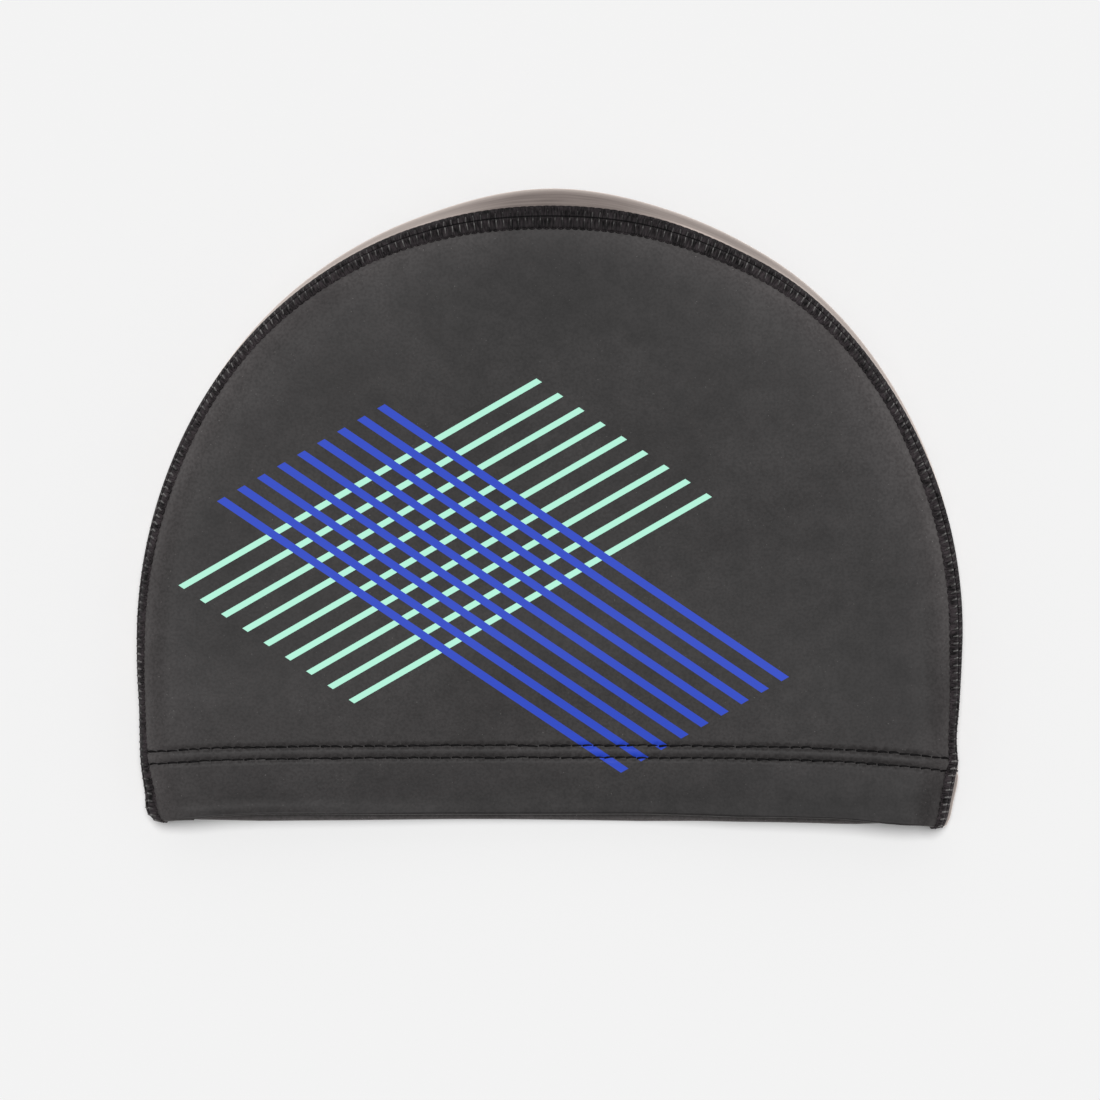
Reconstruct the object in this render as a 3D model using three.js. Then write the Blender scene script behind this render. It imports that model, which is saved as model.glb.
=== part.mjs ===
// Three-panel swim cap, lying on its side as it comes out of a bag.
// Millimetres, +Z up. +Y points from the head opening to the crown, and the printed panel is on top.
// The origin is on the floor, at the middle of the cap's length and width.

import * as THREE from 'three';
import { mergeVertices } from 'three/addons/utils/BufferGeometryUtils.js';

// Sizes of the lying cap, seen from above
const CAP_WIDTH = 223.6; // from one side of the head opening to the other, at the widest line
const DOME_DEPTH = 122.8; // from the widest line up to the crown
const SIDE_DEPTH = 48.3; // from the widest line down to the hem edge, at the middle
const CORNER_DIP = 2.7; // how much further down the hem edge lies at its lower corner
const CORNER_LENGTH = 2.8; // rounded end of a seam at the hem edge

// Sizes of the cloth and of what is sewn
const CLOTH_THICKNESS = 1.0;
const HEM_LAYERS = 2; // the hem is the same cloth turned up inside
const HEM_DEPTH = 21.5; // from the hem edge to the raw edge inside
const SEAM_WIDTH = 7.2; // a flatlock seam, with its two rows of thread
const SEAM_PROUD = 0.4; // thread standing above the cloth on both faces
const SEAM_GROOVE = 0.15; // depth of the line between the rows, below the cloth's face
const STRIP_WIDTH = 16.4; // centre strip between its two seams, at the crown
const JOIN_GAP = 0.3; // between a seam and the cloth that it holds

// Heights above the floor, and how the panels roll over to their seams
const PANEL_HEIGHT = 16.5; // printed panel at the middle of the widest line
const MOUTH_HEIGHT = 11; // printed panel at the middle of the hem edge
const ROLL_LENGTH = 9; // cloth between the level part of a panel and its seam
const FLOOR_EDGE_TILT = 174; // degrees, where the lower seam meets the panel on the floor
const FLOOR_TILT = 180; // degrees, where that panel lies flat

// Fineness of the faceted walls
const DOME_STEPS = 40;
const SIDE_STEPS = 3;
const HEM_STEPS = 3;
const RAW_EDGE_STEP = 0.3; // run over which the wall thickens at the raw edge
const STRIP_STEPS = 8;
const ROLL_STEPS = 3;
const LEVEL_SHARES = [0, 0.3, 0.55, 0.75, 0.9, 1]; // places across the level part of a panel

// One row for each place along the rim. The dome runs from 0 degrees at the right over 90 at the
// crown to 180 at the left, and the straight sides take SIDE_SPAN degrees more at both ends.
// A section starts on the printed panel and goes over the rim to the floor. Its tilts are in
// degrees below level: 90 is the rim's outermost line and 180 lies on the floor. Printed edge,
// groove and inner are the lines of the upper seam, high, middle and low lie on the strip, and
// floor inner and groove are the lines of the lower seam.
// Strip is a share of STRIP_WIDTH, bulge of CAP_WIDTH, outwards, and dip of CORNER_DIP, downwards.
// Dip power is how late the cloth starts to dip on its way from the middle to the rim.
const SIDE_SPAN = 40;
const COLUMNS = [
  'place', 'printedEdge', 'printedGroove', 'printedInner', 'high', 'middle', 'low',
  'floorInner', 'floorGroove', 'strip', 'bulge', 'dip', 'dipPower',
];
const SECTIONS = [
  [-40, 53, 73, 84, 47, 76, 112, 144, 164, 0.30, -0.0190, 1.0, 2],
  [-38.8, 48, 70, 82, 46, 76, 112, 144, 164, 0.30, -0.0148, 1.05, 2.1],
  [-33, 44, 68, 80, 46, 76, 112, 144, 163, 0.30, -0.0080, 1.45, 3],
  [-26.5, 42, 68, 80, 50, 80, 114, 144, 162, 0.30, -0.0022, 1.6, 4.4],
  [-23.5, 44, 72, 92, 90, 104, 122, 144, 162, 0.30, -0.0056, 1.4, 4.4],
  [-20, 50, 73, 94, 102, 112, 128, 144, 162, 0.30, -0.0074, 1.0, 4.4],
  [-14, 47, 69, 92, 100, 110, 126, 142, 160, 0.32, -0.0043, 0.5, 4.4],
  [0, 38, 58, 85, 94, 105, 124, 142, 160, 0.34, 0.0005, 0, 4.4],
  [15, 38, 57, 76, 82, 97, 122, 142, 158, 0.38, 0.0031, 0, 4.4],
  [27, 38, 58, 71, 71, 94, 124.6, 142, 156.8, 0.455, 0.0036, 0, 4.4],
  [35, 43, 63, 70, 64, 92, 126, 142, 156, 0.50, 0.0036, 0, 4.4],
  [55, 30, 60, 66, 54, 90, 134, 140, 152, 0.70, 0.0027, 0, 4.4],
  [65, 23, 56, 56, 47, 90, 134, 137, 150, 0.80, -0.0012, 0, 4.4],
  [75, 12, 44, 50, 47, 90, 134, 134, 148, 0.90, -0.0030, 0, 4.4],
  [90, 8, 38, 36, 34, 90, 135, 133, 146, 1.0, -0.0009, 0, 4.4],
  [105, 15, 49, 57, 53, 90, 134, 134, 148, 0.88, -0.0066, 0, 4.4],
  [112, 25, 56, 63, 57, 91, 133, 137, 150, 0.77, -0.0061, 0, 4.4],
  [120, 34, 62, 68, 60, 92, 132, 140, 152, 0.66, -0.0046, 0, 4.4],
  [135, 42, 68, 76, 72, 96, 126, 142, 156, 0.52, -0.0020, 0, 4.4],
  [155, 47, 67, 82, 87, 102, 122, 142, 158, 0.40, -0.0010, 0, 4.4],
  [180, 52, 74, 91, 97, 108, 124, 142, 160, 0.34, -0.0008, 0, 5],
  [187, 54, 76, 94, 100, 110, 125, 142, 160, 0.33, -0.0015, 0.1, 5],
  [194, 56, 79, 98, 104, 113, 127, 143, 160, 0.32, -0.0039, 0.3, 5],
  [200, 54, 78, 101, 108, 117, 130, 144, 161, 0.30, -0.0045, 0.5, 5],
  [206, 47, 75, 101, 109, 119, 131, 144, 162, 0.28, -0.0056, 0.7, 5],
  [213, 40, 68, 100, 110, 121, 133, 146, 163, 0.26, -0.0106, 0.7, 3],
  [217.5, 38, 65, 99, 110, 121, 134, 147, 164, 0.25, -0.0128, 0.5, 2],
  [219, 46, 71, 101, 110, 122, 135, 148, 164, 0.24, -0.0190, 0.4, 1.8],
  [220, 52, 75, 103, 111, 122, 135, 148, 164, 0.24, -0.0250, 0.35, 1.8],
];

const HUB_Y = -(DOME_DEPTH - SIDE_DEPTH - CORNER_DIP) / 2;
const HALF_WIDTH = CAP_WIDTH / 2;
const RAW_EDGE_DEPTH = SIDE_DEPTH - HEM_DEPTH;
const ROW_WIDTH = SEAM_WIDTH / 2;

const sectionCurve = new THREE.CubicInterpolant(
  SECTIONS.map((row) => row[0]),
  SECTIONS.flat(),
  COLUMNS.length,
);

/** The named values of the section table at any place along the rim. */
function sectionAt(place) {
  const values = sectionCurve.evaluate(place);
  return Object.fromEntries(COLUMNS.map((name, index) => [name, values[index]]));
}

/** A place on the rim: an angle round the dome, or a depth down one of the straight sides. */
function makeStation(angle, depth, layers) {
  const beyond = (SIDE_SPAN * depth) / SIDE_DEPTH;
  const section = sectionAt(angle < 90 ? angle - beyond : angle + beyond);
  const radians = THREE.MathUtils.degToRad(angle);
  const direction = new THREE.Vector2(Math.cos(radians), Math.sin(radians));
  const ellipse = 1 / Math.hypot(direction.x / HALF_WIDTH, direction.y / DOME_DEPTH);
  return {
    section,
    direction,
    depth,
    thickness: layers * CLOTH_THICKNESS,
    reach: ellipse + section.bulge * CAP_WIDTH,
    stretches: sectionStretches(section),
  };
}

/** The cloth of one section as stretches that each turn evenly from one tilt to the next. */
function sectionStretches(section) {
  const quarter = (section.strip * STRIP_WIDTH) / 4;
  const stretches = [
    { length: ROLL_LENGTH, from: 0, to: section.printedEdge },
    { length: ROW_WIDTH, from: section.printedEdge, to: section.printedGroove },
    { length: ROW_WIDTH, from: section.printedGroove, to: section.printedInner },
    { length: quarter, from: section.printedInner, to: section.high },
    { length: quarter, from: section.high, to: section.middle },
    { length: quarter, from: section.middle, to: section.low },
    { length: quarter, from: section.low, to: section.floorInner },
    { length: ROW_WIDTH, from: section.floorInner, to: section.floorGroove },
    { length: ROW_WIDTH, from: section.floorGroove, to: FLOOR_EDGE_TILT },
    { length: ROLL_LENGTH, from: FLOOR_EDGE_TILT, to: FLOOR_TILT },
  ];
  return stretches;
}

/** Where a stretch that turns evenly between two tilts ends: outwards and up from its start. */
function stretchEnd(length, from, to) {
  const half = THREE.MathUtils.degToRad(to - from) / 2;
  const mean = THREE.MathUtils.degToRad(to + from) / 2;
  const chord = half === 0 ? length : (length * Math.sin(half)) / half;
  return new THREE.Vector2(chord * Math.cos(mean), -chord * Math.sin(mean));
}

/** Follows the section's cloth for a distance from the start of the printed panel's roll. */
function followSection(station, distance) {
  const point = new THREE.Vector2();
  let left = distance;
  let tilt = 0;
  for (const stretch of station.stretches) {
    const used = Math.min(left, stretch.length);
    tilt = THREE.MathUtils.lerp(stretch.from, stretch.to, used / stretch.length);
    point.add(stretchEnd(used, stretch.from, tilt));
    left -= used;
    if (left <= 0) break;
  }
  return { point, tilt: THREE.MathUtils.degToRad(tilt) };
}

/** Finds what puts the section's outermost point on the outline and its end on the floor. */
function seatSection(station) {
  const samples = 160;
  station.length = station.stretches.reduce((sum, stretch) => sum + stretch.length, 0);
  station.seat = new THREE.Vector2(0, followSection(station, station.length).point.y);
  for (let step = 0; step <= samples; step += 1) {
    const { point } = followSection(station, (station.length * step) / samples);
    station.seat.x = Math.max(station.seat.x, point.x);
  }
  return station;
}

/** A point of the cap from its place in a section: outwards from the hub line, and up. */
function placePoint(station, outwards, up) {
  const share = Math.max(outwards / station.reach, 0);
  const dip = station.section.dip * CORNER_DIP * share ** station.section.dipPower;
  return new THREE.Vector3(
    station.direction.x * outwards,
    HUB_Y - station.depth + station.direction.y * outwards - dip,
    up,
  );
}

/** The outer and inner point of a wall, from the outer one, the tilt and the two offsets. */
function wallPoints(station, outwards, up, tilt, proud, thickness) {
  const normal = new THREE.Vector2(Math.sin(tilt), Math.cos(tilt));
  const outer = placePoint(station, outwards + normal.x * proud, up + normal.y * proud);
  const inner = placePoint(station, outwards - normal.x * thickness, up - normal.y * thickness);
  return { outer, inner };
}

/** The wall at a distance along the section's cloth. */
function sectionWall(station, distance, proud = 0) {
  const { point, tilt } = followSection(station, distance);
  const outwards = station.reach + point.x - station.seat.x;
  const up = point.y - station.seat.y;
  return wallPoints(station, outwards, up, tilt, proud, station.thickness + proud);
}

/** The wall on the level part of a panel, at a share of the way from the hub line to the roll. */
function levelWall(station, share, isPrinted) {
  const { point } = followSection(station, isPrinted ? 0 : station.length);
  const rim = station.reach + point.x - station.seat.x;
  const outwards = rim * share;
  if (!isPrinted) return wallPoints(station, outwards, 0, Math.PI, 0, station.thickness);
  const rise = point.y - station.seat.y - middleHeight(station.depth);
  const up = middleHeight(station.depth) + rise * THREE.MathUtils.smoothstep(share, 0, 1);
  const slope = (rise * 6 * share * (1 - share)) / rim;
  return wallPoints(station, outwards, up, -Math.atan(slope), 0, station.thickness);
}

/** Height of the printed panel along the cap's middle, which sinks towards the hem edge. */
function middleHeight(depth) {
  const share = THREE.MathUtils.smoothstep(depth, 0, SIDE_DEPTH);
  return THREE.MathUtils.lerp(PANEL_HEIGHT, MOUTH_HEIGHT, share);
}

/** Evenly spread numbers from first to last. */
function spread(first, last, steps) {
  return Array.from({ length: steps + 1 }, (_, step) => first + ((last - first) * step) / steps);
}

/** All places along the rim, from the hem at the right over the crown to the hem at the left. */
function makeStations() {
  const hemDepths = [SIDE_DEPTH, ...spread(SIDE_DEPTH - CORNER_LENGTH, RAW_EDGE_DEPTH, HEM_STEPS)];
  const sideDepths = spread(RAW_EDGE_DEPTH - RAW_EDGE_STEP, 0, SIDE_STEPS);
  const side = (angle) => [
    ...hemDepths.map((depth) => makeStation(angle, depth, HEM_LAYERS)),
    ...sideDepths.map((depth) => makeStation(angle, depth, 1)),
  ];
  const dome = spread(0, 180, DOME_STEPS).slice(1, -1);
  const stations = [
    ...side(0),
    ...dome.map((angle) => makeStation(angle, 0, 1)),
    ...side(180).reverse(),
  ];
  return stations.map(seatSection);
}

/**
 * Bends one plane sheet into the outer and inner skin of a wall. Each station gives a column of
 * the sheet, and one more column half way into the wall closes each end. A ring wall is closed
 * along both edges, and an open one is closed along its middle by its own other half.
 */
function wallGeometry(stations, wallsAt, isRing) {
  const columns = stations.map((station) => {
    const walls = wallsAt(station);
    return [...walls.map((wall) => wall.outer), ...walls.map((wall) => wall.inner).reverse()];
  });
  const endColumn = (column) => column.map(
    (point, index) => point.clone().lerp(column[column.length - 1 - index], 0.5),
  );
  columns.unshift(endColumn(columns[0]));
  columns.push(endColumn(columns[columns.length - 1]));
  if (isRing) columns.forEach((column) => column.push(column[0]));
  const rows = columns[0].length;
  const sheet = new THREE.PlaneGeometry(1, 1, columns.length - 1, rows - 1);
  const positions = sheet.getAttribute('position');
  columns.forEach((column, x) => {
    column.forEach((point, y) => positions.setXYZ(y * columns.length + x, ...point.toArray()));
  });
  sheet.deleteAttribute('normal');
  sheet.deleteAttribute('uv');
  return dropFlatTriangles(mergeVertices(sheet));
}

/** Drops the triangles that merging has left with two corners in one place. */
function dropFlatTriangles(geometry) {
  const corners = geometry.getIndex().array;
  const kept = [];
  for (let first = 0; first < corners.length; first += 3) {
    const triangle = Array.from(corners.slice(first, first + 3));
    if (new Set(triangle).size === 3) kept.push(...triangle);
  }
  geometry.setIndex(kept);
  geometry.computeVertexNormals();
  return geometry;
}

/**
 * One of the two side panels: its level part, and the roll that brings it to its seam. Both are
 * made from the middle outwards with the skin that faces up first, which is the inner skin of the
 * panel on the floor.
 */
function panelGeometry(stations, isPrinted) {
  const rollDistances = spread(0, ROLL_LENGTH - JOIN_GAP / 2, ROLL_STEPS).slice(1);
  return wallGeometry(stations, (station) => {
    const level = LEVEL_SHARES.map((share) => levelWall(station, share, isPrinted));
    const start = isPrinted ? 0 : station.length;
    const roll = rollDistances.map((distance) => sectionWall(station, Math.abs(start - distance)));
    const walls = [...level, ...roll];
    return isPrinted ? walls : walls.map(({ outer, inner }) => ({ outer: inner, inner: outer }));
  }, false);
}

/** A flatlock seam: two rows of thread over the joined edges, with a groove between them. */
function seamGeometry(stations, isPrinted) {
  const margin = JOIN_GAP / 2;
  const lines = [
    { distance: margin, proud: 0 },
    { distance: ROW_WIDTH / 2, proud: SEAM_PROUD },
    { distance: ROW_WIDTH, proud: -SEAM_GROOVE },
    { distance: ROW_WIDTH * 1.5, proud: SEAM_PROUD },
    { distance: SEAM_WIDTH - margin, proud: 0 },
  ];
  return wallGeometry(stations, (station) => {
    const start = isPrinted ? ROLL_LENGTH : station.length - ROLL_LENGTH - SEAM_WIDTH;
    return lines.map((line) => sectionWall(station, start + line.distance, line.proud));
  }, true);
}

/** The centre strip between the two seams. */
function stripGeometry(stations) {
  return wallGeometry(stations, (station) => {
    const edge = ROLL_LENGTH + SEAM_WIDTH + JOIN_GAP / 2;
    const distances = spread(edge, station.length - edge, STRIP_STEPS);
    return distances.map((distance) => sectionWall(station, distance));
  }, true);
}

/** A named piece of the cap with its own finish. */
function makePiece(name, geometry, color, roughness) {
  const finish = new THREE.MeshStandardMaterial({ color, roughness, metalness: 0 });
  const piece = new THREE.Mesh(geometry, finish);
  piece.name = name;
  return piece;
}

const stations = makeStations();
const cap = new THREE.Group();
cap.add(makePiece('printed_panel', panelGeometry(stations, true), 0x424041, 0.7));
cap.add(makePiece('plain_panel', panelGeometry(stations, false), 0x424041, 0.7));
cap.add(makePiece('centre_strip', stripGeometry(stations), 0x8a7d76, 0.5));
cap.add(makePiece('printed_side_seam', seamGeometry(stations, true), 0x1c1b1c, 0.85));
cap.add(makePiece('plain_side_seam', seamGeometry(stations, false), 0x1c1b1c, 0.85));

export default cap;
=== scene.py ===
"""Dresses the three-panel swim cap that lies on its side.

The solids are the frame. Each of their five pieces is replaced by a fine one of cloth or thread:
two side panels with a turned-up hem, the centre strip, and two flatlock seams with their threads.
All lengths are in metres, in the frame of the solids: +Y runs to the crown and +Z up.
"""

import logging
import math
from dataclasses import dataclass, fields
from enum import Enum
from functools import cache
from itertools import product
from typing import Callable, Sequence, Union

import bmesh
import bpy
import numpy as np
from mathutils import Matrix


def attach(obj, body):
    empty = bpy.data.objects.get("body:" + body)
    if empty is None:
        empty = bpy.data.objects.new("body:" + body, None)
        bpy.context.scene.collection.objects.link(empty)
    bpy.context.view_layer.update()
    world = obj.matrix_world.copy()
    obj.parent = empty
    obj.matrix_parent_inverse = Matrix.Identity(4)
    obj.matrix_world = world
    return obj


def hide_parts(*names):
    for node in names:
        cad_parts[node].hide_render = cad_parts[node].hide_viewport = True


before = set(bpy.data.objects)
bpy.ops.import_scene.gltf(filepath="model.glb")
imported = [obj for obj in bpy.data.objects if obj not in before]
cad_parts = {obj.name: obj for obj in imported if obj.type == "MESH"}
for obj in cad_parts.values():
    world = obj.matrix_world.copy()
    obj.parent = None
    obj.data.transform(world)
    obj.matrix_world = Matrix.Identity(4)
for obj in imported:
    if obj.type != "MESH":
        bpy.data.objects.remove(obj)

LOG = logging.getLogger("swim_cap")
MM = 0.001
BODY = "root"
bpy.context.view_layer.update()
# The attribute with the side panels' painted light and shade, and the strip's distance in from its
# seams.
EDGE = "edge"
NUMBER, VECTOR, COLOUR = "NodeSocketFloat", "NodeSocketVector", "NodeSocketColor"
SEAT_SAMPLES = 161
RIM_SAMPLES = 521
THREAD_UNEVENNESS = (0.85, 1.15)

Rgb = tuple[float, float, float]
Socket = bpy.types.NodeSocket
Value = Union[Socket, float, Sequence[float]]
Face = tuple[np.ndarray, np.ndarray]


class Side(Enum):
    """The two halves of the lying cap."""

    PRINTED = "printed"
    PLAIN = "plain"


@dataclass(frozen=True)
class CapSizes:
    """Sizes of the lying cap, as its solids have them."""

    width: float = 223.6 * MM
    dome_depth: float = 122.8 * MM
    side_depth: float = 48.3 * MM
    corner_dip: float = 2.7 * MM
    cloth: float = 1.0 * MM
    hem_depth: float = 21.5 * MM
    seam_row: float = 3.6 * MM
    seam_proud: float = 0.4 * MM
    seam_groove: float = 0.15 * MM
    strip_width: float = 16.4 * MM
    panel_height: float = 16.5 * MM
    mouth_height: float = 11.0 * MM
    roll: float = 9.0 * MM
    floor_edge_tilt: float = 174.0
    side_span: float = 40.0

    @property
    def hub_y(self) -> float:
        """Where the dome's rays start, on the widest line."""
        return -(self.dome_depth - self.side_depth - self.corner_dip) / 2

    @property
    def seam(self) -> float:
        """Width of a flatlock seam."""
        return 2 * self.seam_row

    @property
    def raw_edge_depth(self) -> float:
        """How far below the widest line the hem's raw edge lies inside."""
        return self.side_depth - self.hem_depth

    def place_at_depth(self, depth: float, right: bool) -> float:
        """The place on the rim at a depth down one of the straight sides.

        Args:
            depth: How far below the widest line.
            right: Whether the side is the right one.

        Returns:
            The place, in the section table's degrees.
        """
        beyond = self.side_span * depth / self.side_depth
        return -beyond if right else 180 + beyond


@dataclass(frozen=True)
class SectionRow:
    """A row of the section table: tilts in degrees below level, and shares of named sizes."""

    place: float
    printed_edge: float
    printed_groove: float
    printed_inner: float
    high: float
    middle: float
    low: float
    floor_inner: float
    floor_groove: float
    strip: float
    bulge: float
    dip: float
    dip_power: float


# The places run from the hem at the right (-40) over the widest line (0), the crown (90) and the
# widest line again (180) to the hem at the left (220). The tilts follow the cloth of one section
# from the printed panel's seam over the strip to the seam on the floor.
SECTIONS: tuple[SectionRow, ...] = (
    SectionRow(-40, 53, 73, 84, 47, 76, 112, 144, 164, 0.30, -0.0190, 1.0, 2),
    SectionRow(-38.8, 48, 70, 82, 46, 76, 112, 144, 164, 0.30, -0.0148, 1.05, 2.1),
    SectionRow(-33, 44, 68, 80, 46, 76, 112, 144, 163, 0.30, -0.0080, 1.45, 3),
    SectionRow(-26.5, 42, 68, 80, 50, 80, 114, 144, 162, 0.30, -0.0022, 1.6, 4.4),
    SectionRow(-23.5, 44, 72, 92, 90, 104, 122, 144, 162, 0.30, -0.0056, 1.4, 4.4),
    SectionRow(-20, 50, 73, 94, 102, 112, 128, 144, 162, 0.30, -0.0074, 1.0, 4.4),
    SectionRow(-14, 47, 69, 92, 100, 110, 126, 142, 160, 0.32, -0.0043, 0.5, 4.4),
    SectionRow(0, 38, 58, 85, 94, 105, 124, 142, 160, 0.34, 0.0005, 0, 4.4),
    SectionRow(15, 38, 57, 76, 82, 97, 122, 142, 158, 0.38, 0.0031, 0, 4.4),
    SectionRow(27, 38, 58, 71, 71, 94, 124.6, 142, 156.8, 0.455, 0.0036, 0, 4.4),
    SectionRow(35, 43, 63, 70, 64, 92, 126, 142, 156, 0.50, 0.0036, 0, 4.4),
    SectionRow(55, 30, 60, 66, 54, 90, 134, 140, 152, 0.70, 0.0027, 0, 4.4),
    SectionRow(65, 23, 56, 56, 47, 90, 134, 137, 150, 0.80, -0.0012, 0, 4.4),
    SectionRow(75, 12, 44, 50, 47, 90, 134, 134, 148, 0.90, -0.0030, 0, 4.4),
    SectionRow(90, 8, 38, 36, 34, 90, 135, 133, 146, 1.0, -0.0009, 0, 4.4),
    SectionRow(105, 15, 49, 57, 53, 90, 134, 134, 148, 0.88, -0.0066, 0, 4.4),
    SectionRow(112, 25, 56, 63, 57, 91, 133, 137, 150, 0.77, -0.0061, 0, 4.4),
    SectionRow(120, 34, 62, 68, 60, 92, 132, 140, 152, 0.66, -0.0046, 0, 4.4),
    SectionRow(135, 42, 68, 76, 72, 96, 126, 142, 156, 0.52, -0.0020, 0, 4.4),
    SectionRow(155, 47, 67, 82, 87, 102, 122, 142, 158, 0.40, -0.0010, 0, 4.4),
    SectionRow(180, 52, 74, 91, 97, 108, 124, 142, 160, 0.34, -0.0008, 0, 5),
    SectionRow(187, 54, 76, 94, 100, 110, 125, 142, 160, 0.33, -0.0015, 0.1, 5),
    SectionRow(194, 56, 79, 98, 104, 113, 127, 143, 160, 0.32, -0.0039, 0.3, 5),
    SectionRow(200, 54, 78, 101, 108, 117, 130, 144, 161, 0.30, -0.0045, 0.5, 5),
    SectionRow(206, 47, 75, 101, 109, 119, 131, 144, 162, 0.28, -0.0056, 0.7, 5),
    SectionRow(213, 40, 68, 100, 110, 121, 133, 146, 163, 0.26, -0.0106, 0.7, 3),
    SectionRow(217.5, 38, 65, 99, 110, 121, 134, 147, 164, 0.25, -0.0128, 0.5, 2),
    SectionRow(219, 46, 71, 101, 110, 122, 135, 148, 164, 0.24, -0.0190, 0.4, 1.8),
    SectionRow(220, 52, 75, 103, 111, 122, 135, 148, 164, 0.24, -0.0250, 0.35, 1.8),
)
SECTION_VALUES = np.array(
    [[getattr(row, item.name) for item in fields(SectionRow)] for row in SECTIONS]
)
SECTION_STEPS = np.diff(SECTION_VALUES, axis=0) / np.diff(SECTION_VALUES[:, :1], axis=0)
SECTION_SLOPES = np.vstack(
    [SECTION_STEPS[:1], (SECTION_STEPS[1:] + SECTION_STEPS[:-1]) / 2, SECTION_STEPS[-1:]]
)


def section_row(place: float) -> SectionRow:
    """The section table read at any place, with smooth changes between its rows.

    Args:
        place: The place on the rim, in the table's degrees.

    Returns:
        The row at that place.
    """
    places = SECTION_VALUES[:, 0]
    place = float(np.clip(place, places[0], places[-1]))
    after = int(np.clip(np.searchsorted(places, place), 1, len(places) - 1))
    before = after - 1
    span = places[after] - places[before]
    share = (place - places[before]) / span
    blend = share * share * (3 - 2 * share)
    values = SECTION_VALUES[before] * (1 - blend) + SECTION_VALUES[after] * blend
    values = values + share * (share - 1) ** 2 * span * SECTION_SLOPES[before]
    values = values + share * share * (share - 1) * span * SECTION_SLOPES[after]
    return SectionRow(*values)


def smoother(share: np.ndarray) -> np.ndarray:
    """A step from 0 to 1 that starts and ends without slope or bend."""
    share = np.clip(share, 0, 1)
    return share**3 * (share * (share * 6 - 15) + 10)


class Section:
    """One cross-section of the cap, from its hub line over the rim and back along the floor."""

    def __init__(self, sizes: CapSizes, place: float) -> None:
        """Works out a section's cloth and seats it on the outline and the floor.

        Args:
            sizes: The cap's sizes.
            place: The place on the rim, in the section table's degrees.
        """
        self.sizes = sizes
        self.place = place
        self.row = row = section_row(place)
        angle = math.radians(min(max(place, 0), 180))
        beyond = max(-place, place - 180, 0)
        self.depth = sizes.side_depth * beyond / sizes.side_span
        self.direction = (math.cos(angle), math.sin(angle))
        ellipse = 1 / math.hypot(
            self.direction[0] / (sizes.width / 2), self.direction[1] / sizes.dome_depth
        )
        self.reach = ellipse + row.bulge * sizes.width
        quarter = row.strip * sizes.strip_width / 4
        rows = [sizes.seam_row] * 2
        self.lengths = np.array([sizes.roll, *rows, *[quarter] * 4, *rows, sizes.roll])
        tilts = (0, row.printed_edge, row.printed_groove, row.printed_inner, row.high, row.middle)
        tilts += (row.low, row.floor_inner, row.floor_groove, sizes.floor_edge_tilt, 180)
        self.tilts = np.radians(tilts)
        self.ends = np.concatenate([[0], np.cumsum(self.lengths)])
        self.length = float(self.ends[-1])
        turns = self._turn(self.lengths, self.tilts[:-1], self.tilts[1:])
        self.corners = np.vstack([[0, 0], np.cumsum(turns, axis=0)])
        samples = self._walk(np.linspace(0, self.length, SEAT_SAMPLES))[0]
        self.seat = np.array([samples[:, 0].max(), self.corners[-1, 1]])

    @staticmethod
    def _turn(length: np.ndarray, start: np.ndarray, end: np.ndarray) -> np.ndarray:
        """How far out and up stretches of cloth go that turn evenly between two tilts.

        Args:
            length: The stretches' lengths.
            start: Their tilts below level at the start.
            end: Their tilts at the end.

        Returns:
            The way out and the way up, one pair for each stretch.
        """
        half, mean = (end - start) / 2, (end + start) / 2
        chord = length * np.sinc(half / np.pi)
        return np.stack([chord * np.cos(mean), -chord * np.sin(mean)], axis=-1)

    def _walk(self, distance: np.ndarray) -> tuple[np.ndarray, np.ndarray]:
        """The points and tilts at distances along the cloth, before it is seated.

        Args:
            distance: Distances along the cloth from the start of the printed panel's roll.

        Returns:
            The points, and the tilts below level.
        """
        distance = np.clip(np.asarray(distance, float), 0, self.length)
        last = len(self.lengths) - 1
        index = np.clip(np.searchsorted(self.ends, distance, side="right") - 1, 0, last)
        used = distance - self.ends[index]
        start = self.tilts[index]
        tilt = start + (self.tilts[index + 1] - start) * used / self.lengths[index]
        return self.corners[index] + self._turn(used, start, tilt), tilt

    def lay(self, outwards: np.ndarray, up: np.ndarray) -> np.ndarray:
        """Puts points of the section into the cap.

        Args:
            outwards: Distances from the hub line.
            up: Heights above the floor.

        Returns:
            One point in each row.
        """
        share = np.clip(outwards / self.reach, 0, 2)
        dip = self.row.dip * self.sizes.corner_dip * share**self.row.dip_power
        x = self.direction[0] * outwards
        y = self.sizes.hub_y - self.depth + self.direction[1] * outwards - dip
        return np.stack([x, y, up], axis=-1)

    def cloth(self, distance: np.ndarray, lift: np.ndarray | float = 0.0) -> np.ndarray:
        """Points on the section's cloth.

        Args:
            distance: Distances along the cloth from the start of the printed panel's roll.
            lift: How far the points stand out from the cloth's outer face.

        Returns:
            One point in each row.
        """
        point, tilt = self._walk(distance)
        outwards = self.reach + point[..., 0] - self.seat[0] + np.sin(tilt) * lift
        return self.lay(outwards, point[..., 1] - self.seat[1] + np.cos(tilt) * lift)

    def level(self, share: np.ndarray, side: Side, lift: np.ndarray | float = 0.0) -> np.ndarray:
        """Points on the level part of a side panel.

        Args:
            share: Shares of the way from the hub line to the panel's roll.
            side: Which of the two panels.
            lift: How far the points stand out from the panel's outer face.

        Returns:
            One point in each row.
        """
        share = np.asarray(share, float)
        distance = 0.0 if side is Side.PRINTED else self.length
        start = self._walk(np.array([distance]))[0][0] - self.seat
        rim = self.reach + start[0]
        if side is Side.PLAIN:
            return self.lay(rim * share, np.zeros_like(share) - lift)
        low = self.middle_height()
        rise = start[1] - low
        slope = rise * 30 * share**2 * (share - 1) ** 2 / rim
        tilt = -np.arctan(slope)
        outwards = rim * share + np.sin(tilt) * lift
        return self.lay(outwards, low + rise * smoother(share) + np.cos(tilt) * lift)

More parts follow.
